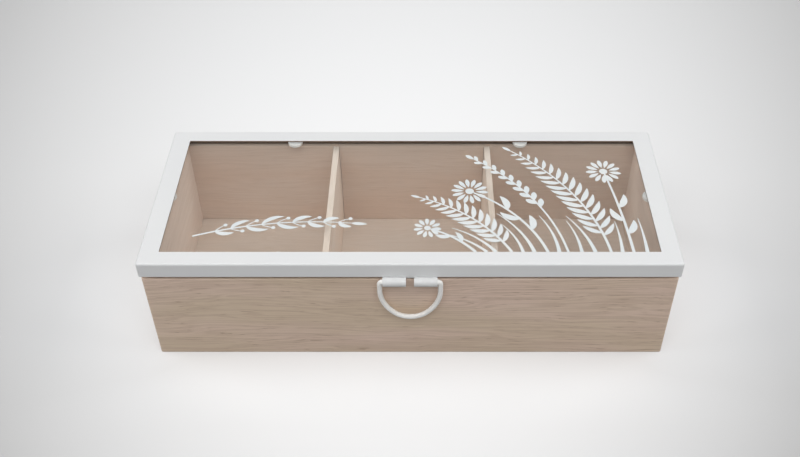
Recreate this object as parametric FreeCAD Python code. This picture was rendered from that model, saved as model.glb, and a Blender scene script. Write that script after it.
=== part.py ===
import FreeCAD, Part
import math
import os

# A tea bag box: a long, low box of thin wooden boards with three compartments,
# closed by a hinged lid whose painted frame holds a pane of glass.
#
# The model stands on z = 0 with the middle of its lid over the origin.
# +X points right, +Y from the front to the back, +Z up. Lengths are millimetres.
#
# Box:  four mitred walls with a stepped top edge, a bottom panel in grooves,
#       and dividers that stand in housings cut in the front and back walls.
# Lid:  a frame rebated from below, a pane of glass under its lip, round pads that hold
#       the pane and sit in pockets bored in the frame, and the lid's leaf of each hinge.
# Pull: a plate under the lid's front rail, rolled into two knuckles, in which the
#       turned-in ends of a wire bail swing.

# ---------------------------------------------------------------- driving sizes

# Lid frame
LID_WIDTH = 240.0
LID_DEPTH = 95.5
LID_THICKNESS = 8.0
BORDER_SIDE = 9.1          # face width of the frame, left and right of the glass
BORDER_FRONT = 8.0         # the same at the front
BORDER_BACK = 7.7          # the same at the back
LIP_THICKNESS = 0.8        # frame left over the edge of the glass
LID_CORNER_RADIUS = 1.2    # upright corners, seen from above
LID_TOP_RADIUS = 1.1       # outer edge of the top face
LID_BOTTOM_BEVEL = 0.2     # outer edge of the underside
WINDOW_BEVEL = 0.2         # edge of the top face round the glass

# Box
SIDE_OVERHANG = 0.8        # lid past the box at each side
FRONT_OVERHANG = 0.8       # lid past the box at the front; the backs are flush
SHOULDER_HEIGHT = 49.8     # outer step of the walls' top, under the lid's rim
WALL = 6.4
WALL_LIP = 2.0             # inner part of each wall, which stands up into the lid
WALL_LIP_RISE = 4.4        # height of that part over the shoulder
LIP_CLEARANCE = 0.3        # between the walls' lips and the rebate of the lid
BOX_CORNER_RADIUS = 1.2
BOX_EDGE_BEVEL = 0.25      # outer edges of the foot and of the shoulder

# Bottom panel and dividers
BOTTOM_THICKNESS = 3.0
BOTTOM_RAISE = 1.6         # underside of the panel above the walls' feet
GROOVE_DEPTH = 2.5
COMPARTMENTS = 3
DIVIDER_THICKNESS = 2.8
DIVIDER_DROP = 1.1         # top of the dividers below the walls' lips
HOUSING_DEPTH = 1.6
JOINERY_CLEARANCE = 0.2    # over the bottom and beside the dividers, and at the ends of both

# Glass and the pads that hold it
GLASS_THICKNESS = 2.0
GLASS_CLEARANCE = 0.3
GLASS_EDGE = 0.2
PAD_RADIUS = 3.6
PAD_THICKNESS = 1.5
PAD_BEVEL = 0.25
PAD_CLEARANCE = 0.1        # between a pad and the pocket bored for it
PAD_REACH = 1.9            # front and back pads past the edge of the window
PAD_REACH_RIGHT = 1.4      # the same for the one on the right, which is set by hand
PAD_REACH_LEFT = 0.2       # the same for the one on the left
PAD_SPACING = 113.0        # between the two pads of the front or back rail
PAD_SHIFT = -2.0           # middle of each such pair, which is set by hand

# Hinges
HINGE_SPACING = 150.0
HINGE_LENGTH = 20.0
HINGE_LEAF = 0.8
HINGE_LEAF_GAP = 0.4       # between the two leaves of a closed hinge
HINGE_LEAF_INSET = 0.4     # leaf short of the inner edge of the shoulder
HINGE_KNUCKLES = 3
KNUCKLE_GAP = 0.15         # between neighbouring knuckles
HINGE_PIN_RADIUS = 0.75
HINGE_STANDOFF = 0.6       # knuckles behind the back of the box
RUNNING_CLEARANCE = 0.05   # pins and wires in their knuckles
SCREW_HOLE_RADIUS = 0.6
SCREW_HEAD_RADIUS = 1.1
SCREW_MARGIN = 3.0         # screw to the end of its leaf

# Pull: plate, knuckles and bail
PULL_PLATE = 0.9
PULL_WIDTH = 24.2
PULL_GAP = 3.6             # between the two knuckles
PULL_PLATE_INSET = 0.3     # plate short of the lid's rebate
PULL_STANDOFF = 0.4        # knuckles in front of the box
PULL_AXIS_DROP = 1.3       # axis under the lid's underside
BAIL_WIRE_RADIUS = 1.15
BAIL_BEND_INSIDE = 0.15    # inside radius where the wire's ends turn inward
BAIL_SIDE_GAP = 0.1        # knuckle end to the start of that bend
BAIL_LEG = 4.2             # straight stretch under each bend
BAIL_BOW_DEPTH = 17.0      # from the legs down to the middle of the wire at the bottom
BAIL_BOW_RADIUS = 10.9     # of the bow's lowest arc, middle of the wire
BAIL_END_INSET = 0.8       # wire ends short of the inner ends of the knuckles

# ---------------------------------------------------------------- derived sizes

BOX_WIDTH = LID_WIDTH - 2 * SIDE_OVERHANG
BOX_LEFT = -BOX_WIDTH / 2
BOX_RIGHT = BOX_WIDTH / 2
LID_FRONT = -LID_DEPTH / 2
LID_BACK = LID_DEPTH / 2
BOX_FRONT = LID_FRONT + FRONT_OVERHANG
BOX_BACK = LID_BACK

LID_GAP = 2 * HINGE_LEAF + HINGE_LEAF_GAP      # between the shoulder and the lid's underside
LID_BOTTOM = SHOULDER_HEIGHT + LID_GAP
LID_TOP = LID_BOTTOM + LID_THICKNESS
WALL_LIP_TOP = SHOULDER_HEIGHT + WALL_LIP_RISE
SHOULDER = WALL - WALL_LIP
RIM = SHOULDER - LIP_CLEARANCE        # lid's rim that lies over the shoulder
FLOOR_TOP = BOTTOM_RAISE + BOTTOM_THICKNESS

GLASS_TOP = LID_TOP - LIP_THICKNESS
GLASS_BOTTOM = GLASS_TOP - GLASS_THICKNESS

HINGE_BORE = HINGE_PIN_RADIUS + RUNNING_CLEARANCE
HINGE_KNUCKLE_RADIUS = HINGE_BORE + HINGE_LEAF
HINGE_Y = BOX_BACK + HINGE_STANDOFF + HINGE_KNUCKLE_RADIUS
HINGE_Z = SHOULDER_HEIGHT + LID_GAP / 2

PULL_BORE = BAIL_WIRE_RADIUS + RUNNING_CLEARANCE
PULL_KNUCKLE_RADIUS = PULL_BORE + PULL_PLATE
PULL_Y = BOX_FRONT - PULL_STANDOFF - PULL_KNUCKLE_RADIUS
PULL_Z = LID_BOTTOM - PULL_AXIS_DROP
BAIL_BEND_RADIUS = BAIL_WIRE_RADIUS + BAIL_BEND_INSIDE

OUTSIDE = (BOX_LEFT, BOX_RIGHT, BOX_FRONT, BOX_BACK)


# ---------------------------------------------------------------- small helpers

def block(x0, x1, y0, y1, z0, z1):
    """An upright box between two corners."""
    return Part.makeBox(x1 - x0, y1 - y0, z1 - z0, FreeCAD.Vector(x0, y0, z0))


def bar_x(x0, x1, y, z, radius):
    """A round bar along X."""
    return Part.makeCylinder(radius, x1 - x0, FreeCAD.Vector(x0, y, z), FreeCAD.Vector(1, 0, 0))


def inset(plan, distance):
    """A plan rectangle (x0, x1, y0, y1) drawn in by a distance on all sides."""
    x0, x1, y0, y1 = plan
    return (x0 + distance, x1 - distance, y0 + distance, y1 - distance)


def edges_where(shape, test):
    """The edges whose bounding box passes a test."""
    return [edge for edge in shape.Edges if test(edge.BoundBox)]


def upright(box):
    return box.ZLength > 1 and box.XLength < 1e-6 and box.YLength < 1e-6


def level_at(z):
    """A test for edges that lie wholly at one height."""
    return lambda box: abs(box.ZMin - z) < 1e-6 and abs(box.ZMax - z) < 1e-6


def rounded_slab(plan, z0, z1, corner):
    """A flat slab with rounded upright corners."""
    slab = block(*plan, z0, z1)
    return slab.makeFillet(corner, edges_where(slab, upright))


def export(shape, node):
    """Writes one closed solid as parts/NODE.step and prints its size."""
    solid = shape.removeSplitter()
    solids = solid.Solids
    if len(solids) != 1 or not solids[0].isValid():
        raise ValueError(f"{node}: {len(solids)} solids")
    solids[0].exportStep(f"parts/{node}.step")
    box = solids[0].BoundBox
    print(f"{node:24s} {solids[0].Volume:10.2f} mm3  x {box.XMin:8.2f} {box.XMax:8.2f}"
          f"  y {box.YMin:7.2f} {box.YMax:7.2f}  z {box.ZMin:6.2f} {box.ZMax:6.2f}")


# ---------------------------------------------------------------- box

def divider_centres():
    """Middles of the dividers, which share the inside into equal compartments."""
    inner_width = BOX_WIDTH - 2 * WALL
    dividers = COMPARTMENTS - 1
    clear = (inner_width - dividers * DIVIDER_THICKNESS) / COMPARTMENTS
    pitch = clear + DIVIDER_THICKNESS
    return [(i - (dividers - 1) / 2) * pitch for i in range(dividers)]


def wall_ring():
    """All four walls as one ring, with its step, groove and housings, before mitring."""
    inside = inset(OUTSIDE, WALL)
    body = rounded_slab(OUTSIDE, 0, SHOULDER_HEIGHT, BOX_CORNER_RADIUS)
    for z in (0, SHOULDER_HEIGHT):
        body = body.makeChamfer(BOX_EDGE_BEVEL, edges_where(body, level_at(z)))
    lip = block(*inset(OUTSIDE, SHOULDER), BOTTOM_RAISE, WALL_LIP_TOP)
    ring = body.fuse(lip)
    ring = ring.cut(block(*inside, -1, WALL_LIP_TOP + 1))
    ring = ring.cut(block(*inset(inside, -GROOVE_DEPTH), BOTTOM_RAISE, FLOOR_TOP + JOINERY_CLEARANCE))
    half = DIVIDER_THICKNESS / 2 + JOINERY_CLEARANCE
    for x in divider_centres():
        housing = block(x - half, x + half, inside[2] - HOUSING_DEPTH, inside[3] + HOUSING_DEPTH,
                        FLOOR_TOP, WALL_LIP_TOP + 1)
        ring = ring.cut(housing)
    return ring


def mitre_wedge(corner_a, corner_b, inner_b, inner_a):
    """A tall prism over one wall, its ends cut at the corners' mitres."""
    points = [FreeCAD.Vector(x, y, -1) for x, y in (corner_a, corner_b, inner_b, inner_a, corner_a)]
    face = Part.Face(Part.makePolygon(points))
    return face.extrude(FreeCAD.Vector(0, 0, WALL_LIP_TOP + 2))


def walls():
    """The four walls, each a board mitred at both ends."""
    ring = wall_ring()
    x0, x1, y0, y1 = OUTSIDE
    u0, u1, v0, v1 = inset(OUTSIDE, WALL)
    wedges = {
        "front_wall": ((x0, y0), (x1, y0), (u1, v0), (u0, v0)),
        "right_wall": ((x1, y0), (x1, y1), (u1, v1), (u1, v0)),
        "back_wall": ((x1, y1), (x0, y1), (u0, v1), (u1, v1)),
        "left_wall": ((x0, y1), (x0, y0), (u0, v0), (u0, v1)),
    }
    return {node: ring.common(mitre_wedge(*corners)) for node, corners in wedges.items()}


def bottom_panel():
    """The bottom, let into the walls' grooves."""
    plan = inset(OUTSIDE, WALL - GROOVE_DEPTH + JOINERY_CLEARANCE)
    return block(*plan, BOTTOM_RAISE, FLOOR_TOP)


def divider(x):
    """One divider, standing on the bottom with its ends in the walls' housings."""
    inside = inset(OUTSIDE, WALL)
    reach = HOUSING_DEPTH - JOINERY_CLEARANCE
    half = DIVIDER_THICKNESS / 2
    return block(x - half, x + half, inside[2] - reach, inside[3] + reach,
                 FLOOR_TOP, WALL_LIP_TOP - DIVIDER_DROP)


# ---------------------------------------------------------------- lid

def rebate_plan():
    """The rebate under the lid's frame: the walls' lips fit into it."""
    return inset(OUTSIDE, RIM)


def window_plan():
    """The glass that shows inside the frame."""
    return (-LID_WIDTH / 2 + BORDER_SIDE, LID_WIDTH / 2 - BORDER_SIDE,
            LID_FRONT + BORDER_FRONT, LID_BACK - BORDER_BACK)


def pad_places():
    """Where the pads sit, by node: two on each long rail and one on each short one."""
    x0, x1, y0, y1 = window_plan()
    outward = PAD_RADIUS - PAD_REACH
    left = PAD_SHIFT - PAD_SPACING / 2
    right = PAD_SHIFT + PAD_SPACING / 2
    middle = (LID_FRONT + LID_BACK) / 2
    return {
        "pad_back_left": (left, y1 + outward),
        "pad_back_right": (right, y1 + outward),
        "pad_front_left": (left, y0 - outward),
        "pad_front_right": (right, y0 - outward),
        "pad_side_left": (x0 - PAD_RADIUS + PAD_REACH_LEFT, middle),
        "pad_side_right": (x1 + PAD_RADIUS - PAD_REACH_RIGHT, middle),
    }


def lid_frame():
    """The lid's frame: a thin lip round the window, a deep rebate and the pads' pockets."""
    plan = (-LID_WIDTH / 2, LID_WIDTH / 2, LID_FRONT, LID_BACK)
    frame = rounded_slab(plan, LID_BOTTOM, LID_TOP, LID_CORNER_RADIUS)
    frame = frame.makeFillet(LID_TOP_RADIUS, edges_where(frame, level_at(LID_TOP)))
    frame = frame.makeChamfer(LID_BOTTOM_BEVEL, edges_where(frame, level_at(LID_BOTTOM)))
    frame = frame.cut(block(*rebate_plan(), LID_BOTTOM - 1, GLASS_TOP))
    for x, y in pad_places().values():
        foot = FreeCAD.Vector(x, y, LID_BOTTOM - 1)
        frame = frame.cut(Part.makeCylinder(PAD_RADIUS + PAD_CLEARANCE, GLASS_BOTTOM - foot.z, foot))
    window = window_plan()
    frame = frame.cut(block(*window, GLASS_TOP - 1, LID_TOP + 1))

    def round_the_window(box):
        inside = window[0] - 1e-6 < box.XMin and box.XMax < window[1] + 1e-6
        return level_at(LID_TOP)(box) and inside and window[2] - 1e-6 < box.YMin

    return frame.makeChamfer(WINDOW_BEVEL, edges_where(frame, round_the_window))


def lid_glass():
    """The pane, under the lip, with ground edges."""
    pane = block(*inset(rebate_plan(), GLASS_CLEARANCE), GLASS_BOTTOM, GLASS_TOP)
    return pane.makeChamfer(GLASS_EDGE, pane.Edges)


def pad(x, y):
    """A flat round pad under the glass, its lower edge bevelled."""
    foot = GLASS_BOTTOM - PAD_THICKNESS
    disc = Part.makeCylinder(PAD_RADIUS, PAD_THICKNESS, FreeCAD.Vector(x, y, foot))
    return disc.makeChamfer(PAD_BEVEL, edges_where(disc, level_at(foot)))


# ---------------------------------------------------------------- hinges

def knuckle_spans(x_middle):
    """Start and end of each knuckle of one hinge, from left to right."""
    pitch = (HINGE_LENGTH + KNUCKLE_GAP) / HINGE_KNUCKLES
    start = x_middle - HINGE_LENGTH / 2
    return [(start + i * pitch, start + (i + 1) * pitch - KNUCKLE_GAP) for i in range(HINGE_KNUCKLES)]


def countersunk_hole(x, y, z, up):
    """A screw hole through a leaf, its wide mouth at z and facing up or down."""
    direction = FreeCAD.Vector(0, 0, -1 if up else 1)
    mouth = FreeCAD.Vector(x, y, z)
    cone = Part.makeCone(SCREW_HEAD_RADIUS, SCREW_HOLE_RADIUS, SCREW_HEAD_RADIUS - SCREW_HOLE_RADIUS,
                         mouth, direction)
    shaft = Part.makeCylinder(SCREW_HOLE_RADIUS, 2 * HINGE_LEAF, mouth, direction)
    return cone.fuse(shaft)


def hinge_leaf(x_middle, z0, first_knuckle, mouths_up):
    """A flat leaf from z0 up, rolled into every second knuckle round the hinge axis."""
    z1 = z0 + HINGE_LEAF
    front = BOX_BACK - SHOULDER + HINGE_LEAF_INSET
    plate_end = HINGE_Y - HINGE_KNUCKLE_RADIUS - KNUCKLE_GAP
    leaf = block(x_middle - HINGE_LENGTH / 2, x_middle + HINGE_LENGTH / 2, front, plate_end, z0, z1)
    spans = knuckle_spans(x_middle)
    for x0, x1 in spans[first_knuckle::2]:
        leaf = leaf.fuse(block(x0, x1, front, HINGE_Y, z0, z1))
        leaf = leaf.fuse(bar_x(x0, x1, HINGE_Y, HINGE_Z, HINGE_KNUCKLE_RADIUS))
    leaf = leaf.cut(bar_x(spans[0][0] - 1, spans[-1][1] + 1, HINGE_Y, HINGE_Z, HINGE_BORE))
    screw_y = (front + BOX_BACK) / 2
    for side in (-1, 1):
        screw_x = x_middle + side * (HINGE_LENGTH / 2 - SCREW_MARGIN)
        leaf = leaf.cut(countersunk_hole(screw_x, screw_y, z1 if mouths_up else z0, mouths_up))
    return leaf


def hinge(side, x_middle):
    """One butt hinge: the box's leaf, the lid's leaf and the pin."""
    lid_leaf_bottom = LID_BOTTOM - HINGE_LEAF
    half = HINGE_LENGTH / 2
    return {
        f"hinge_{side}_box_leaf": hinge_leaf(x_middle, SHOULDER_HEIGHT, 0, True),
        f"hinge_{side}_lid_leaf": hinge_leaf(x_middle, lid_leaf_bottom, 1, False),
        f"hinge_{side}_pin": bar_x(x_middle - half, x_middle + half, HINGE_Y, HINGE_Z, HINGE_PIN_RADIUS),
    }


# ---------------------------------------------------------------- pull

def pull_bracket():
    """The pull's plate, under the lid's front rail and rolled into two knuckles."""
    half = PULL_WIDTH / 2
    plate_back = rebate_plan()[2] - PULL_PLATE_INSET
    plate_bottom = LID_BOTTOM - PULL_PLATE
    clear_front = PULL_Y + PULL_KNUCKLE_RADIUS
    bracket = block(-half, half, clear_front, plate_back, plate_bottom, LID_BOTTOM)
    for x0, x1 in ((-half, -PULL_GAP / 2), (PULL_GAP / 2, half)):
        bracket = bracket.fuse(block(x0, x1, PULL_Y, plate_back, plate_bottom, LID_BOTTOM))
        bracket = bracket.fuse(bar_x(x0, x1, PULL_Y, PULL_Z, PULL_KNUCKLE_RADIUS))
    return bracket.cut(bar_x(-half - 1, half + 1, PULL_Y, PULL_Z, PULL_BORE))


def bail_path():
    """The middle line of the bail, hanging: from one end, round the bow, to the other.

    Under each leg an arc of side_radius runs tangent into the bow's lowest arc. Both sides
    meet it at the angle join, measured up from straight down at the middle of that arc.
    """
    def at(x, z):
        return FreeCAD.Vector(x, PULL_Y, z)

    def on_arc(middle_x, middle_z, radius, angle, side):
        return at(side * (middle_x + radius * math.sin(angle)), middle_z - radius * math.cos(angle))

    end_x = PULL_GAP / 2 + BAIL_END_INSET
    bend_x = PULL_WIDTH / 2 + BAIL_SIDE_GAP
    leg_x = bend_x + BAIL_BEND_RADIUS
    bend_z = PULL_Z - BAIL_BEND_RADIUS
    leg_z = bend_z - BAIL_LEG
    bow_rise = BAIL_BOW_DEPTH - BAIL_BOW_RADIUS
    side_radius = ((leg_x ** 2 + BAIL_BOW_DEPTH ** 2 - 2 * BAIL_BOW_DEPTH * BAIL_BOW_RADIUS)
                   / (2 * (leg_x - BAIL_BOW_RADIUS)))
    join = math.atan2(side_radius - leg_x, bow_rise)
    half_turn = math.radians(90)

    edges = []
    for side in (-1, 1):
        edges.append(Part.LineSegment(at(side * end_x, PULL_Z), at(side * bend_x, PULL_Z)).toShape())
        bend = Part.Arc(at(side * bend_x, PULL_Z),
                        on_arc(bend_x, bend_z, BAIL_BEND_RADIUS, math.radians(135), side),
                        at(side * leg_x, bend_z))
        edges.append(bend.toShape())
        edges.append(Part.LineSegment(at(side * leg_x, bend_z), at(side * leg_x, leg_z)).toShape())
        flank_x = leg_x - side_radius
        flank = Part.Arc(at(side * leg_x, leg_z),
                         on_arc(flank_x, leg_z, side_radius, (half_turn + join) / 2, side),
                         on_arc(flank_x, leg_z, side_radius, join, side))
        edges.append(flank.toShape())
    bow_z = leg_z - bow_rise
    bow = Part.Arc(on_arc(0, bow_z, BAIL_BOW_RADIUS, join, -1),
                   on_arc(0, bow_z, BAIL_BOW_RADIUS, 0, 1),
                   on_arc(0, bow_z, BAIL_BOW_RADIUS, join, 1))
    edges.append(bow.toShape())
    return Part.Wire(Part.__sortEdges__(edges))


def bail():
    """The wire bail."""
    path = bail_path()
    end = path.OrderedVertexes[0].Point
    towards = 1 if end.x < 0 else -1
    ring = Part.Wire(Part.makeCircle(BAIL_WIRE_RADIUS, end, FreeCAD.Vector(towards, 0, 0)))
    return path.makePipeShell([ring], True, False)


# ---------------------------------------------------------------- all parts

def build():
    """Every piece by node name."""
    pieces = walls()
    pieces["bottom_panel"] = bottom_panel()
    for number, x in enumerate(divider_centres(), 1):
        pieces[f"divider_{number}"] = divider(x)
    pieces["lid_frame"] = lid_frame()
    pieces["lid_glass"] = lid_glass()
    for node, place in pad_places().items():
        pieces[node] = pad(*place)
    for side, sign in (("left", -1), ("right", 1)):
        pieces.update(hinge(side, sign * HINGE_SPACING / 2))
    pieces["pull_bracket"] = pull_bracket()
    pieces["bail"] = bail()
    return pieces


os.makedirs("parts", exist_ok=True)
for node_name, piece in build().items():
    export(piece, node_name)
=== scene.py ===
import cmath
import math

import bmesh
import bpy
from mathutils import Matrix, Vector
from mathutils.geometry import delaunay_2d_cdt

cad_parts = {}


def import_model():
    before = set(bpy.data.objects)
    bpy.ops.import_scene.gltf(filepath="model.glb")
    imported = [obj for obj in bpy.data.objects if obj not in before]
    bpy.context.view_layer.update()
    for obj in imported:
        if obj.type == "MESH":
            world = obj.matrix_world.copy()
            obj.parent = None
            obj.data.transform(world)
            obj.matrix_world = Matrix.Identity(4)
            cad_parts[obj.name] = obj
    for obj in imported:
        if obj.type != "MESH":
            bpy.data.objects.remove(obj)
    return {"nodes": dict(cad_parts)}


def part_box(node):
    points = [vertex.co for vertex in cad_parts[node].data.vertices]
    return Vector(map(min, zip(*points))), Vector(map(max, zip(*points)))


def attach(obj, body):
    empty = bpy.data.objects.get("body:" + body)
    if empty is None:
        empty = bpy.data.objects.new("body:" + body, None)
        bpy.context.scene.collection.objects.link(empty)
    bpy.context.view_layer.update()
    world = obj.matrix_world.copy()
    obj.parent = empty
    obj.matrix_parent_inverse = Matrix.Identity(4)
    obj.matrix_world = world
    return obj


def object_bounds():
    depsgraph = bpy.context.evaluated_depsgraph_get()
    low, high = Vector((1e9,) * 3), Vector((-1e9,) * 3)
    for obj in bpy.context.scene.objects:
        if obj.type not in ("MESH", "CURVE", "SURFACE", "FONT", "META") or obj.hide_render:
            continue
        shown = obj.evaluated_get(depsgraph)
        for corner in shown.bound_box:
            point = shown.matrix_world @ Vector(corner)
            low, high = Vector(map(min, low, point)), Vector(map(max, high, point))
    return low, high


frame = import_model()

# The looks of a tea bag box: light oak boards, lighter dividers, a white painted lid
# frame round a pane of glass, a white enamelled wire pull, plated hinges, and a plain
# botanical print on the glass. Meshes are in metres, in the model's own frame. Materials
# and outlines are worked out in millimetres.

MM = 0.001
WINDOW_SIDE = 9.1          # lid's side faces to the window, in millimetres
WINDOW_FRONT = 8.0         # the same at the front
WINDOW_BACK = 7.7          # and at the back
WALL_LIP = 2.1             # raised inner part of the walls, and a little more
TENON = 1.4                # how far a divider goes into each wall
HAIR = 0.05                # what a bare area reaches past its edge
CAD_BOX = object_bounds()
NODES = frame["nodes"]
WALLS = {"front_wall": "x", "back_wall": "x", "left_wall": "y", "right_wall": "y"}

# ---------------------------------------------------------------- colours (linear)


def srgb(*levels):
    """Linear RGBA from 0-255 display levels."""
    def linear(level):
        share = level / 255
        return share / 12.92 if share <= 0.04045 else ((share + 0.055) / 1.055) ** 2.4
    return (*[linear(level) for level in levels], 1.0)


OAK = srgb(231, 207, 191)
OAK_DARK = srgb(187, 160, 139)
OAK_COOL = srgb(224, 204, 181)
OAK_INSIDE = srgb(220, 200, 185)
OAK_INSIDE_DARK = srgb(205, 180, 161)
OAK_INSIDE_WARM = srgb(219, 194, 176)
# The side walls' inner faces: a lighter copy of the inside oak, painted light that makes up for the shade on
# them inside the box.
LIGHTENED_SIDE_INSIDE = srgb(230, 215, 203)
LIGHTENED_SIDE_INSIDE_DARK = srgb(211, 191, 176)
LIGHTENED_SIDE_INSIDE_WARM = srgb(229, 210, 197)
FLOOR = srgb(219, 205, 193)
FLOOR_DARK = srgb(203, 183, 165)
FLOOR_WARM = srgb(218, 200, 185)
DIVIDER = srgb(237, 223, 211)
DIVIDER_DARK = srgb(215, 195, 176)
DIVIDER_WARM = srgb(234, 215, 200)
# Unpainted board in the lid's rebate and on the window's inner edge, darkened as painted shade for the line
# under the lip.
BARE_BOARD_AND_SHADE = srgb(136, 116, 99)
PAINT = srgb(230, 231, 231)
# One white enamel in two copies: the bail's is lighter as painted light, and the bracket's is darker as
# painted shade under the lid.
BAIL_ENAMEL_PAINTED_LIGHT = srgb(249, 248, 245)
BRACKET_ENAMEL_PAINTED_SHADE = srgb(225, 226, 226)
PAD = srgb(246, 245, 243)
PRINT = srgb(228, 232, 232)
ZINC = srgb(196, 195, 190)
GLASS_TINT = srgb(250, 253, 252)
# The floor as the camera sees it: paler in the middle and darker towards its edges, a painted falloff of
# light, with a glow that fades the same way.
BACKDROP = (0.903, 0.900, 0.893, 1.0)
BACKDROP_EDGE_SHADE = (0.48, 0.48, 0.48, 1.0)
FLOOR_BOUNCE = (0.30, 0.30, 0.30, 1.0)
FLOOR_LIFT = (0.050, 0.057, 0.070, 1.0)
# Glow of the pools beside and before the object: painted light over part of the lamps' shadows.
FLOOR_PAINTED_LIGHT_POOL = (0.152, 0.164, 0.180, 1.0)


# ---------------------------------------------------------------- material helpers

class Shader:
    """One material, with short calls for the nodes that these materials share."""

    def __init__(self, name):
        self.material = bpy.data.materials.new(name)
        self.material.use_nodes = True
        self.tree = self.material.node_tree
        self.tree.nodes.clear()
        self.output = self.node("ShaderNodeOutputMaterial")
        coordinates = self.node("ShaderNodeTexCoord")
        scale = self.node("ShaderNodeVectorMath", operation="SCALE")
        self.link(coordinates.outputs["Object"], scale.inputs[0])
        scale.inputs["Scale"].default_value = 1 / MM
        self.place = scale.outputs["Vector"]                 # in millimetres
        split = self.node("ShaderNodeSeparateXYZ")
        self.link(self.place, split.inputs[0])
        self.x, self.y, self.z = split.outputs

    def node(self, kind, **settings):
        made = self.tree.nodes.new(kind)
        for key, value in settings.items():
            setattr(made, key, value)
        return made

    def link(self, source, target):
        self.tree.links.new(source, target)

    def feed(self, target, value):
        """A socket takes another socket's output or a plain value."""
        if isinstance(value, bpy.types.NodeSocket):
            self.link(value, target)
        else:
            target.default_value = value

    def math(self, operation, *values, clamp=False):
        made = self.node("ShaderNodeMath", operation=operation, use_clamp=clamp)
        for target, value in zip(made.inputs, values):
            self.feed(target, value)
        return made.outputs[0]

    def mix(self, share, first, second):
        made = self.node("ShaderNodeMix", data_type="RGBA")
        self.feed(made.inputs["Factor"], share)
        self.feed(made.inputs[6], first)
        self.feed(made.inputs[7], second)
        return made.outputs[2]

    def steps(self, value, low, high):
        """0 at low, 1 at high, and smooth between."""
        made = self.node("ShaderNodeMapRange", interpolation_type="SMOOTHSTEP")
        self.feed(made.inputs["Value"], value)
        made.inputs["From Min"].default_value = low
        made.inputs["From Max"].default_value = high
        return made.outputs["Result"]

    def stretch(self, vector, scales, offset=(0, 0, 0)):
        """The place multiplied by a scale along each axis, then moved."""
        made = self.node("ShaderNodeVectorMath", operation="MULTIPLY_ADD")
        self.link(vector, made.inputs[0])
        made.inputs[1].default_value = scales
        made.inputs[2].default_value = offset
        return made.outputs["Vector"]

    def noise(self, vector, detail=2.0, roughness=0.5):
        made = self.node("ShaderNodeTexNoise")
        self.link(vector, made.inputs["Vector"])
        made.inputs["Scale"].default_value = 1.0
        made.inputs["Detail"].default_value = detail
        made.inputs["Roughness"].default_value = roughness
        return made.outputs["Fac"]

    def join(self, x, y, z):
        made = self.node("ShaderNodeCombineXYZ")
        for target, value in zip(made.inputs, (x, y, z)):
            self.feed(target, value)
        return made.outputs[0]

    def within(self, half_x, low_y, high_y, top_z):
        """1 inside an upright block centred on x = 0 that goes down without end, else 0."""
        middle = (low_y + high_y) / 2
        off_x = self.math("SUBTRACT", self.math("ABSOLUTE", self.x), half_x)
        off_y = self.math("SUBTRACT", self.math("ABSOLUTE", self.math("SUBTRACT", self.y, middle)),
                          (high_y - low_y) / 2)
        off_z = self.math("SUBTRACT", self.z, top_z)
        furthest = self.math("MAXIMUM", self.math("MAXIMUM", off_x, off_y), off_z)
        return self.math("LESS_THAN", furthest, 0.0)

    def bump(self, height, strength, distance):
        made = self.node("ShaderNodeBump")
        made.inputs["Strength"].default_value = strength
        made.inputs["Distance"].default_value = distance
        self.link(height, made.inputs["Height"])
        return made.outputs["Normal"]

    def finish(self, color, roughness, normal=None, **sockets):
        """The Principled shader that ends the material."""
        shader = self.node("ShaderNodeBsdfPrincipled")
        self.feed(shader.inputs["Base Color"], color)
        self.feed(shader.inputs["Roughness"], roughness)
        if normal is not None:
            self.link(normal, shader.inputs["Normal"])
        for key, value in sockets.items():
            self.feed(shader.inputs[key.replace("_", " ")], value)
        self.link(shader.outputs[0], self.output.inputs["Surface"])
        return self.material


def inner_box():
    """The hollow of the box, out to where the walls' raised lips start, in millimetres."""
    low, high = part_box("divider_1")
    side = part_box("right_wall")[0].x / MM + WALL_LIP
    return (side, low.y / MM + TENON - WALL_LIP, high.y / MM - TENON + WALL_LIP)


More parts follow.
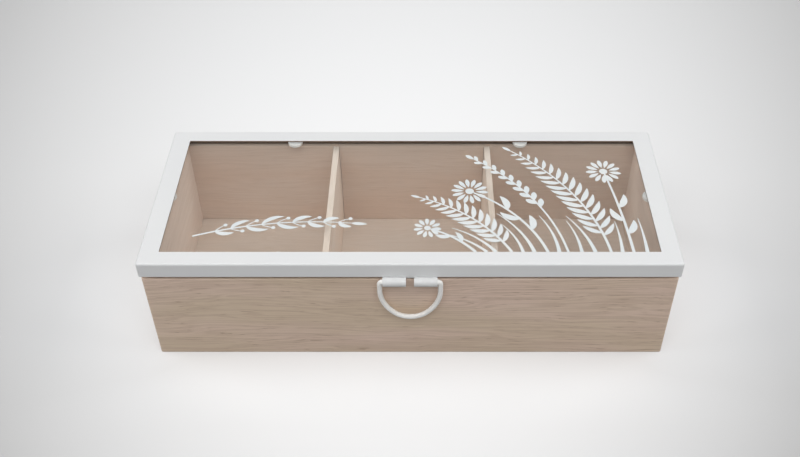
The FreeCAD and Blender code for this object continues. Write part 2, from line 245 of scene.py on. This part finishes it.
def board(name, along, seed, light, dark, third, figure, pores, inside=None):
    """A sawn board whose grain runs along one axis.

    figure is how strong the growth rings are, and pores how dark the short open pores.
    With inside, the colours (light, dark, third) of the faces that look into the box.
    """
    s = Shader(name)
    length, across_a, across_b = (s.x, s.y, s.z) if along == "x" else (s.y, s.x, s.z)
    grain = s.join(length, across_a, across_b)
    drift = s.noise(s.stretch(grain, (0.011, 0.03, 0.035), (seed, 3.1, 7.7)), detail=2.0)
    sway = s.math("MULTIPLY", s.math("SUBTRACT", drift, 0.5), 13.0)
    small = s.noise(s.stretch(grain, (0.045, 0.11, 0.12), (seed, 9.4, 1.3)), detail=2.0)
    flutter = s.math("MULTIPLY", s.math("SUBTRACT", small, 0.5), 1.2)
    wander = s.math("ADD", sway, flutter)
    bent = s.join(length, s.math("ADD", across_a, wander), s.math("ADD", across_b, wander))

    rings = s.noise(s.stretch(bent, (0.006, 0.20, 0.26), (2.0, seed, 0.4)), detail=1.5, roughness=0.45)
    ring_wave = s.math("SINE", s.math("MULTIPLY", rings, 46.0))
    ring_tone = s.steps(ring_wave, -0.9, 1.0)
    fibre = s.noise(s.stretch(bent, (0.028, 1.5, 1.7), (seed, 5.0, 2.0)), detail=3.0, roughness=0.62)
    fibre_tone = s.steps(fibre, 0.30, 0.72)
    dashes = s.noise(s.stretch(bent, (0.11, 1.9, 2.3), (4.0, seed, 6.0)), detail=1.0, roughness=0.4)
    pore_mask = s.math("MULTIPLY", s.steps(dashes, 0.60, 0.78), s.math("ADD", ring_tone, 0.25), clamp=True)
    tone = s.noise(s.stretch(grain, (0.010, 0.028, 0.045), (seed, 0.0, 4.0)), detail=2.0)

    def tint(colours):
        pale, deep, other = colours
        colour = s.mix(s.steps(tone, 0.34, 0.66), pale, other)
        colour = s.mix(s.math("MULTIPLY", ring_tone, figure), colour, deep)
        colour = s.mix(s.math("MULTIPLY", fibre_tone, 0.75 * figure), colour, deep)
        return s.mix(s.math("MULTIPLY", pore_mask, pores), colour, deep)

    colour = tint((light, dark, third))
    if inside is not None:
        hollow = s.within(*inner_box(), 200.0)
        colour = s.mix(hollow, colour, tint(inside))
    roughness = s.math("ADD", 0.52, s.math("MULTIPLY", fibre_tone, 0.12))
    height = s.math("SUBTRACT", s.math("MULTIPLY", fibre, 0.4), pore_mask)
    return s.finish(colour, roughness, s.bump(height, 0.22, 0.05 * MM), Specular_IOR_Level=0.35)


def paint():
    """Satin white paint on the lid's frame, over board that stays bare in the rebate and on the window's
    inner edge below the bevel: unpainted board, darkened as painted shade for the dark line under the lid's
    lip.
    """
    s = Shader("lid_paint")
    low, high = (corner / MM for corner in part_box("lid_glass"))
    past_pane = 0.35
    rebate = s.within(high.x + past_pane, low.y - past_pane, high.y + past_pane, high.z + HAIR)
    low, high = (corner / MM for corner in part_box("lid_frame"))
    painted_edge = 0.21                                      # the bevel round the window
    window = s.within(high.x - WINDOW_SIDE + HAIR, low.y + WINDOW_FRONT - HAIR,
                      high.y - WINDOW_BACK + HAIR, high.z - painted_edge)
    rebate = s.math("MAXIMUM", rebate, window)
    cloud = s.noise(s.stretch(s.place, (0.02, 0.02, 0.05), (1.0, 2.0, 3.0)), detail=2.0)
    peel = s.noise(s.stretch(s.place, (0.9, 0.9, 0.9)), detail=3.0, roughness=0.6)
    white = s.mix(s.steps(cloud, 0.3, 0.7), PAINT, srgb(228, 229, 230))
    fuzz = s.noise(s.stretch(s.place, (0.25, 0.8, 1.4), (8.0, 1.0, 5.0)), detail=3.0)
    # Bare board, darkened as painted shade under the lip.
    bare = s.mix(fuzz, BARE_BOARD_AND_SHADE, srgb(120, 101, 85))
    colour = s.mix(rebate, white, bare)
    roughness = s.math("ADD", 0.36, s.math("MULTIPLY", peel, 0.10))
    roughness = s.math("MAXIMUM", roughness, s.math("MULTIPLY", rebate, 0.85))
    return s.finish(colour, roughness, s.bump(peel, 0.10, 0.04 * MM))


def enamel(name, white):
    """White enamel baked on a part of the pull. The bail and the bracket take a lighter and a darker copy of
    one white: painted light on the bail's wire, and painted shade on the bracket's knuckles under the lid.
    """
    s = Shader(name)
    flow = s.noise(s.stretch(s.place, (0.5, 0.5, 0.5)), detail=2.0)
    dust = s.noise(s.stretch(s.place, (2.6, 2.6, 2.6), (5.0, 5.0, 5.0)), detail=1.0)
    thin = (*[level * 0.95 for level in white[:3]], 1.0)
    colour = s.mix(s.steps(flow, 0.35, 0.7), white, thin)
    roughness = s.math("ADD", 0.44, s.math("MULTIPLY", flow, 0.12))
    return s.finish(colour, roughness, s.bump(dust, 0.08, 0.03 * MM), Specular_IOR_Level=0.35)


def soft_pad():
    """Soft white plastic of the pads."""
    s = Shader("pad_plastic")
    skin = s.noise(s.stretch(s.place, (1.6, 1.6, 1.6)), detail=3.0)
    colour = s.mix(skin, PAD, srgb(238, 238, 237))
    roughness = s.math("ADD", 0.45, s.math("MULTIPLY", skin, 0.15))
    return s.finish(colour, roughness, s.bump(skin, 0.12, 0.05 * MM))


def plated():
    """Zinc-plated steel with fine drawing lines along the hinges."""
    s = Shader("hinge_plating")
    lines = s.noise(s.stretch(s.place, (0.35, 9.0, 9.0)), detail=3.0, roughness=0.6)
    bloom = s.noise(s.stretch(s.place, (0.4, 0.4, 0.4), (3.0, 0.0, 2.0)), detail=2.0)
    colour = s.mix(bloom, ZINC, srgb(176, 174, 166))
    roughness = s.math("ADD", 0.24, s.math("MULTIPLY", lines, 0.2))
    return s.finish(colour, roughness, s.bump(lines, 0.15, 0.02 * MM), Metallic=1.0)


def ink():
    """Opaque white screen print, a little uneven in density."""
    s = Shader("print_ink")
    screen = s.noise(s.stretch(s.place, (1.1, 1.1, 1.1)), detail=3.0, roughness=0.6)
    wash = s.noise(s.stretch(s.place, (0.06, 0.06, 0.06), (7.0, 2.0, 0.0)), detail=2.0)
    colour = s.mix(s.steps(wash, 0.3, 0.7), PRINT, srgb(221, 228, 230))
    roughness = s.math("ADD", 0.42, s.math("MULTIPLY", screen, 0.16))
    return s.finish(colour, roughness, s.bump(screen, 0.10, 0.01 * MM))


def glass():
    """Clear float glass with a faint surface waviness."""
    s = Shader("clear_glass")
    waves = s.noise(s.stretch(s.place, (0.012, 0.012, 0.012)), detail=1.0)
    tint = s.mix(waves, GLASS_TINT, srgb(247, 251, 250))
    return s.finish(tint, 0.0, Transmission_Weight=1.0, IOR=1.5)


def dress(material, *names):
    """Gives CAD nodes their material."""
    for name in names:
        for part in NODES[name].material_slots:
            part.material = material


# ---------------------------------------------------------------- the CAD nodes' materials

outside = (OAK, OAK_DARK, OAK_COOL)
inside = (OAK_INSIDE, OAK_INSIDE_DARK, OAK_INSIDE_WARM)
# The side walls' inner faces take the lighter copy, painted light against their shade.
lightened_side_inside = (LIGHTENED_SIDE_INSIDE, LIGHTENED_SIDE_INSIDE_DARK, LIGHTENED_SIDE_INSIDE_WARM)
for number, (wall, along) in enumerate(WALLS.items()):
    within_box = inside if along == "x" else lightened_side_inside
    dress(board(f"oak_{wall}", along, 11.3 + 7.9 * number, *outside, 0.29, 1.0, within_box), wall)
dress(board("floor_board", "x", 41.7, FLOOR, FLOOR_DARK, FLOOR_WARM, 0.22, 0.3), "bottom_panel")
for number in (1, 2):
    dress(board(f"beech_{number}", "y", 60.2 + 5.3 * number, DIVIDER, DIVIDER_DARK, DIVIDER_WARM, 0.25, 0.35),
          f"divider_{number}")
dress(paint(), "lid_frame")
dress(glass(), "lid_glass")
# Lighter and darker copies of one enamel: painted shade on the bracket, painted light on the bail.
dress(enamel("bracket_enamel_painted_shade", BRACKET_ENAMEL_PAINTED_SHADE), "pull_bracket")
dress(enamel("bail_enamel_painted_light", BAIL_ENAMEL_PAINTED_LIGHT), "bail")
dress(soft_pad(), *[name for name in NODES if name.startswith("pad_")])
dress(plated(), *[name for name in NODES if name.startswith("hinge_")])

# Lamps and daylight reach the inside straight through the pane.
NODES["lid_glass"].visible_shadow = False
NODES["lid_glass"].visible_diffuse = False

# ---------------------------------------------------------------- print on the glass
# Outlines are lists of complex numbers, x + yj, in millimetres on the lid seen from above.

INK = ink()
PANE_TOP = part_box("lid_glass")[1].z
FRAME_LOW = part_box("lid_frame")[0]
INK_THICKNESS = 0.06 * MM
INK_GAP = 0.002 * MM
PRINT_FOOT = 1j * (FRAME_LOW.y / MM + WINDOW_FRONT + 0.6)   # where the stems start


def arc_line(root, heading, length, curl, points=26):
    """A curved line of points that sets off at a heading in degrees and turns by curl."""
    line = [root]
    for i in range(points):
        turn = math.radians(heading + curl * (i + 0.5) / points)
        line.append(line[-1] + cmath.rect(length / points, turn))
    return line


def on_line(line, share):
    """The point and the heading, in radians, at a share of a line's length."""
    place = share * (len(line) - 1)
    i = min(int(place), len(line) - 2)
    step = line[i + 1] - line[i]
    return line[i] + step * (place - i), cmath.phase(step)


def leaf(root, heading, length, width, bend=0.0, belly=0.45, points=12):
    """The outline of a pointed leaf. Its widest place is at the share belly of its length."""
    rise, fall = 1.5 * belly + 0.15, 1.65 - 1.5 * belly
    peak = belly ** rise * (1 - belly) ** fall
    left, right = [], []
    for i in range(points + 1):
        t = i / points
        half = width / 2 * t ** rise * (1 - t) ** fall / peak
        spine = root + cmath.rect(length * t, heading + bend * (t - 0.5))
        across = cmath.rect(half, heading + bend * (2 * t - 0.5) + math.pi / 2)
        left.append(spine + across)
        right.append(spine - across)
    return right + left[-2:0:-1]


def disc(middle, radius, points=24):
    return [middle + cmath.rect(radius, 2 * math.pi * i / points) for i in range(points)]


def stroke(line, wide, narrow):
    """A band along a line that tapers from wide to narrow and ends in a point."""
    left, right = [], []
    last = len(line) - 1
    for i, point in enumerate(line):
        heading = cmath.phase(line[min(i + 1, last)] - line[max(i - 1, 0)])
        across = cmath.rect((wide + (narrow - wide) * i / last) / 2, heading + math.pi / 2)
        left.append(point + across)
        right.append(point - across)
    tip = line[-1] + cmath.rect(narrow / 2, cmath.phase(line[-1] - line[-2]))
    return right + [tip] + left[::-1]


def frond(line, leaflets, longest, spread=0.98):
    """A fern frond: narrow leaflets in pairs that grow shorter towards the tip."""
    shapes = [stroke(line, 1.3, 0.5)]
    for i in range(leaflets):
        share = 0.14 + 0.80 * i / (leaflets - 1)
        length = longest * math.sin(math.pi * (0.25 + 0.68 * share))
        for side in (-1, 1):
            root, heading = on_line(line, share + 0.01 * side)
            shapes.append(leaf(root, heading + side * spread, length, 0.20 * length + 0.5, -side * 0.3))
    tip, heading = on_line(line, 1.0)
    shapes.append(leaf(tip, heading, 0.5 * longest, 0.16 * longest))
    return shapes


def daisy(middle, radius, petals, turn):
    """A round flower: separate petals about a small disc."""
    shapes = [disc(middle, 0.23 * radius)]
    for i in range(petals):
        heading = turn + 2 * math.pi * i / petals
        root = middle + cmath.rect(0.32 * radius, heading)
        shapes.append(leaf(root, heading, 0.68 * radius, 3.2 * radius / petals, belly=0.62))
    return shapes


def flower_stem(line, radius, petals, leaves, size=10.0):
    """A daisy on a stem, with leaves to the right and left in turn at these shares of it."""
    shapes = [stroke(line, 1.4, 0.9)]
    for i, share in enumerate(leaves):
        root, heading = on_line(line, share)
        side = 1 if i % 2 else -1
        shapes.append(leaf(root, heading + side * 0.7, size, 0.33 * size, -side * 0.5))
    head, heading = on_line(line, 1.0)
    return shapes + daisy(head + cmath.rect(0.26 * radius, heading), radius, petals, heading)


def seed_stem(line, seeds, size, start=0.40):
    """A head of grass: drop-shaped seeds to the right and left in turn."""
    shapes = [stroke(line, 1.1, 0.5)]
    for i in range(seeds):
        root, heading = on_line(line, start + (0.97 - start) * i / (seeds - 1))
        side = 1 if i % 2 else -1
        shrunk = size * (1.0 - 0.35 * i / (seeds - 1))
        shapes.append(leaf(root, heading + side * 0.55, shrunk, 0.44 * shrunk, belly=0.6))
    tip, heading = on_line(line, 1.0)
    return shapes + [leaf(tip, heading, 0.8 * size, 0.34 * size, belly=0.6)]


def meadow():
    """A loose row of meadow flowers, ferns and grasses that leans to the left."""
    y = PRINT_FOOT
    shapes = frond(arc_line(89 + y, 97, 84, 44), 15, 11.0)
    shapes += flower_stem(arc_line(99 + y, 92, 54, 8), 8.6, 13, (0.22, 0.38, 0.55))
    shapes += seed_stem(arc_line(70 + y, 99, 78, 44), 17, 6.4)
    shapes += flower_stem(arc_line(61 + y, 106, 52, 44), 8.8, 14, (0.30, 0.47, 0.63))
    shapes += frond(arc_line(45 + y, 116, 56, 44), 12, 9.5)
    shapes += flower_stem(arc_line(29 + y, 128, 25, 30), 6.4, 11, (0.35, 0.60), 7.0)
    blades = (
        (105, 88, 22, 8, 1.7),
        (94, 86, 20, 12, 1.7),
        (82, 101, 26, 26, 1.8),
        (76, 92, 21, 22, 1.6),
        (66, 92, 25, 28, 1.8),
        (55, 104, 30, 34, 1.8),
        (50, 100, 20, 30, 1.5),
        (38, 124, 25, 34, 1.6),
        (34, 132, 20, 28, 1.5),
    )
    for root, heading, length, curl, width in blades:
        shapes.append(stroke(arc_line(root + y, heading, length, curl, 18), width, 0.3))
    return shapes


def sprig():
    """A slim sprig with leaves and berries that lies across the left of the window."""
    line = arc_line(-98 - 29j, 20, 72, -26, 36)
    shapes = [stroke(line, 0.95, 0.45)]
    pairs = 9
    for i in range(pairs):
        share = 0.14 + 0.78 * i / (pairs - 1)
        root, heading = on_line(line, share)
        side = 1 if i % 2 else -1
        length = 11.5 - 9.5 * abs(share - 0.42)
        shapes.append(leaf(root, heading + side * 0.62, length, 2.3, -side * 0.55))
        twig = arc_line(root, math.degrees(heading) - side * 42, 6.0, side * 26, 8)
        shapes.append(stroke(twig, 0.55, 0.4))
        shapes.append(disc(twig[-1], 0.95, 16))
    tip, heading = on_line(line, 1.0)
    return shapes + [leaf(tip, heading, 7.5, 2.0)]


def print_on_glass(name, outlines):
    """One thin closed mesh of ink over the joined area of all the outlines."""
    points, faces = [], []
    for outline in outlines:
        area = sum((a.conjugate() * b).imag for a, b in zip(outline, outline[1:] + outline[:1]))
        turned = outline if area > 0 else outline[::-1]
        faces.append(list(range(len(points), len(points) + len(turned))))
        points += [Vector((p.real, p.imag)) for p in turned]
    flat, _, triangles, _, _, owners = delaunay_2d_cdt(points, [], faces, 1, 1e-4)
    inked = [triangle for triangle, owner in zip(triangles, owners) if owner]
    mesh = bmesh.new()
    low = PANE_TOP + INK_GAP
    corners = [mesh.verts.new((p.x * MM, p.y * MM, low)) for p in flat]
    for triangle in inked:
        mesh.faces.new([corners[i] for i in triangle])
    loose = [v for v in mesh.verts if not v.link_faces]
    bmesh.ops.delete(mesh, geom=loose, context="VERTS")
    raised = bmesh.ops.extrude_face_region(mesh, geom=list(mesh.faces), use_keep_orig=True)["geom"]
    for vertex in raised:
        if isinstance(vertex, bmesh.types.BMVert):
            vertex.co.z += INK_THICKNESS
    bmesh.ops.recalc_face_normals(mesh, faces=mesh.faces)
    ride_new(name, mesh, INK, "lid")


def ride_new(name, mesh, material, body):
    """A new piece from a bmesh, with its material, on its body."""
    data = bpy.data.meshes.new(name)
    mesh.to_mesh(data)
    mesh.free()
    data.materials.append(material)
    made = bpy.data.objects.new(name, data)
    bpy.context.collection.objects.link(made)
    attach(made, body)


print_on_glass("print_meadow", meadow())
print_on_glass("print_sprig", sprig())

# ---------------------------------------------------------------- hinge screws


def screw(name, middle, up, body):
    """A small countersunk screw head with a cross recess, set in a leaf's hole."""
    mesh = bmesh.new()
    sides = 40
    head, neck, depth = 1.02 * MM, 0.55 * MM, 0.47 * MM
    slot_half, slot_reach, slot_depth = 0.15 * MM, 0.62 * MM, 0.26 * MM
    towards = 1 if up else -1
    corners = []
    for i in range(4):
        a = math.pi / 2 * i
        out, across = Vector((math.cos(a), math.sin(a))), Vector((-math.sin(a), math.cos(a)))
        corners += [out * slot_reach - across * slot_half, out * slot_reach + across * slot_half,
                    (out + across) * slot_half]
    top = [mesh.verts.new((p.x, p.y, 0)) for p in corners]
    pit = [mesh.verts.new((p.x * 0.8, p.y * 0.8, -slot_depth)) for p in corners]
    for i in range(len(corners)):
        j = (i + 1) % len(corners)
        mesh.faces.new((top[i], top[j], pit[j], pit[i]))
    mesh.faces.new(pit)
    rings = []
    for radius, z in ((head, 0), (head, -0.06 * MM), (neck, -depth)):
        rings.append([mesh.verts.new((radius * math.cos(2 * math.pi * i / sides),
                                      radius * math.sin(2 * math.pi * i / sides), z)) for i in range(sides)])
    for upper, lower in zip(rings, rings[1:]):
        for i in range(sides):
            j = (i + 1) % sides
            mesh.faces.new((upper[i], upper[j], lower[j], lower[i]))
    mesh.faces.new(rings[-1])
    outer_edges = [mesh.edges.get((rings[0][i], rings[0][(i + 1) % sides])) for i in range(sides)]
    inner_edges = [mesh.edges.get((top[i], top[(i + 1) % len(top)])) for i in range(len(top))]
    bmesh.ops.triangle_fill(mesh, edges=outer_edges + inner_edges, use_beauty=True)
    for vertex in mesh.verts:
        vertex.co = Vector((vertex.co.x, vertex.co.y, vertex.co.z * towards)) + middle
    bmesh.ops.recalc_face_normals(mesh, faces=mesh.faces)
    ride_new(name, mesh, NODES["hinge_left_pin"].material_slots[0].material, body)


def hinge_screws():
    """Two screws in each leaf of each hinge."""
    margin = 3.0 * MM            # from a leaf's end to its screw
    leaf_depth = 0.8 * MM
    leaf_gap = 0.4 * MM          # between the two leaves of a closed hinge
    back = CAD_BOX[1].y - 3.8 * MM   # where the leaves' flat parts end
    for side in ("left", "right"):
        for body, up in (("box", True), ("lid", False)):
            low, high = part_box(f"hinge_{side}_{body}_leaf")
            face = FRAME_LOW.z - leaf_depth - (leaf_gap if up else 0.0)
            y = (low.y + back) / 2
            for number, x in enumerate((low.x + margin, high.x - margin), 1):
                screw(f"screw_{side}_{body}_{number}", Vector((x, y, face)), up, body)


hinge_screws()

# ---------------------------------------------------------------- floor, light and camera

# Where the floor's painted falloff of light is palest, and how far it spreads.
VIGNETTE_MIDDLE = (-7.0, 40.0)
VIGNETTE_REACH = (410.0, 623.0)
VIGNETTE_WIDTH = 0.502       # share of the reach at y = 0
VIGNETTE_WIDENS = 0.00080    # what that share gains with each millimetre towards the back
VIGNETTE_END = 1.5           # spread at which the floor is darkest


def painted_light_falloff(s):
    """Painted falloff of light: 0 in the floor's pale middle and 1 far from it, in an oval that narrows to
    the front.
    """
    off_x = s.math("DIVIDE", s.math("SUBTRACT", s.x, VIGNETTE_MIDDLE[0]), VIGNETTE_REACH[0])
    off_y = s.math("DIVIDE", s.math("SUBTRACT", s.y, VIGNETTE_MIDDLE[1]), VIGNETTE_REACH[1])
    widen = s.math("MAXIMUM", s.math("MULTIPLY_ADD", s.y, VIGNETTE_WIDENS, VIGNETTE_WIDTH), 0.25)
    spread = s.math("ADD", s.math("MULTIPLY", off_x, off_x), s.math("MULTIPLY", off_y, off_y))
    spread = s.math("DIVIDE", spread, s.math("MULTIPLY", widen, widen))
    return s.math("MULTIPLY", s.math("MINIMUM", spread, VIGNETTE_END), 1 / VIGNETTE_END)


def painted_light_pools(s):
    """Painted light: how much paler the floor is beside the object, where it lifts part of the side lamps'
    shadows, and before it.
    """
    from_middle = s.math("ABSOLUTE", s.x)

    def pool(inner, outer, middle, reach):
        """1 round a middle line across the floor, fading out along x and y."""
        along = s.math("SUBTRACT", 1.0, s.steps(from_middle, inner, outer))
        off_line = s.math("ABSOLUTE", s.math("SUBTRACT", s.y, middle))
        return s.math("MULTIPLY", along, s.math("SUBTRACT", 1.0, s.steps(off_line, 0.0, reach)))

    beside = s.math("MULTIPLY", pool(130.0, 225.0, -5.0, 80.0), s.steps(from_middle, 100.0, 125.0))
    before = s.math("MULTIPLY", pool(60.0, 190.0, -68.0, 26.0), 0.45)
    return s.math("MAXIMUM", beside, before)


def floor():
    """A pale studio floor with painted shade, darker away from the object. To light that it bounces it is
    grey.
    """
    half = 4.0
    corners = [(-half, -half, 0), (half, -half, 0), (half, half, 0), (-half, half, 0)]
    mesh = bpy.data.meshes.new("studio_floor")
    mesh.from_pydata(corners, [], [(0, 1, 2, 3)])
    made = bpy.data.objects.new("studio_floor", mesh)
    made.location.z = -0.02 * MM
    bpy.context.collection.objects.link(made)
    s = Shader("studio_floor")
    falloff_shade = painted_light_falloff(s)
    seen = s.mix(falloff_shade, BACKDROP, BACKDROP_EDGE_SHADE)
    # The floor's glow, seen only by camera, mirror and glass rays, is painted light: strongest in the middle
    # and in the pools.
    lift = s.mix(painted_light_pools(s), s.mix(falloff_shade, FLOOR_LIFT, (0.0, 0.0, 0.0, 1.0)), FLOOR_PAINTED_LIGHT_POOL)
    path = s.node("ShaderNodeLightPath")
    rays = s.math("MAXIMUM", path.outputs["Is Camera Ray"], path.outputs["Is Glossy Ray"])
    rays = s.math("MAXIMUM", rays, path.outputs["Is Transmission Ray"])
    mesh.materials.append(s.finish(s.mix(rays, FLOOR_BOUNCE, seen), 0.9, Specular_IOR_Level=0.1,
                                   Emission_Color=lift, Emission_Strength=rays))


def lamp(name, place, target, width, height, power):
    data = bpy.data.lights.new(name, "AREA")
    data.shape = "RECTANGLE"
    data.size = width
    data.size_y = height
    data.energy = power
    made = bpy.data.objects.new(name, data)
    made.location = place
    made.rotation_euler = (Vector(target) - Vector(place)).to_track_quat("-Z", "Y").to_euler()
    bpy.context.collection.objects.link(made)


def world(light, seen):
    """Soft light from all round. Camera, mirror and glass rays see the pale studio."""
    made = bpy.data.worlds.new("studio")
    bpy.context.scene.world = made
    made.use_nodes = True
    tree = made.node_tree
    tree.nodes.clear()
    path = tree.nodes.new("ShaderNodeLightPath")
    either = tree.nodes.new("ShaderNodeMath")
    either.operation = "MAXIMUM"
    tree.links.new(path.outputs["Is Camera Ray"], either.inputs[0])
    tree.links.new(path.outputs["Is Glossy Ray"], either.inputs[1])
    any_of = tree.nodes.new("ShaderNodeMath")
    any_of.operation = "MAXIMUM"
    tree.links.new(either.outputs[0], any_of.inputs[0])
    tree.links.new(path.outputs["Is Transmission Ray"], any_of.inputs[1])
    lit = tree.nodes.new("ShaderNodeBackground")
    lit.inputs["Color"].default_value = (1, 1, 1, 1)
    lit.inputs["Strength"].default_value = light
    shown = tree.nodes.new("ShaderNodeBackground")
    shown.inputs["Color"].default_value = (1, 1, 1, 1)
    shown.inputs["Strength"].default_value = seen
    mixed = tree.nodes.new("ShaderNodeMixShader")
    tree.links.new(any_of.outputs[0], mixed.inputs[0])
    tree.links.new(lit.outputs[0], mixed.inputs[1])
    tree.links.new(shown.outputs[0], mixed.inputs[2])
    output = tree.nodes.new("ShaderNodeOutputWorld")
    tree.links.new(mixed.outputs[0], output.inputs["Surface"])


def camera():
    data = bpy.data.cameras.new("camera")
    data.sensor_width = 36
    data.lens = 43.91
    data.shift_x = -0.0278
    data.clip_start = 0.01
    data.clip_end = 50
    made = bpy.data.objects.new("camera", data)
    made.location = (0.00538, -0.34875, 0.3596)
    made.rotation_euler = (math.radians(90 - 42.78), 0, 0)
    bpy.context.collection.objects.link(made)
    bpy.context.scene.camera = made


floor()
lamp("overhead", (0, 0, 2.4), (0, 0, 0), 1.1, 1.1, 3.5)
lamp("front_fill", (0, -1.5, 2.4), (0, 0, 0), 3.6, 1.1, 41.5)
lamp("side_left", (-2.3, 0.2, 1.7), (0, 0, 0), 2.0, 1.2, 27)
lamp("side_right", (2.3, 0.2, 1.7), (0, 0, 0), 2.0, 1.2, 27)
world(0.25, 0.50)
camera()

bpy.context.scene.view_settings.view_transform = "Standard"
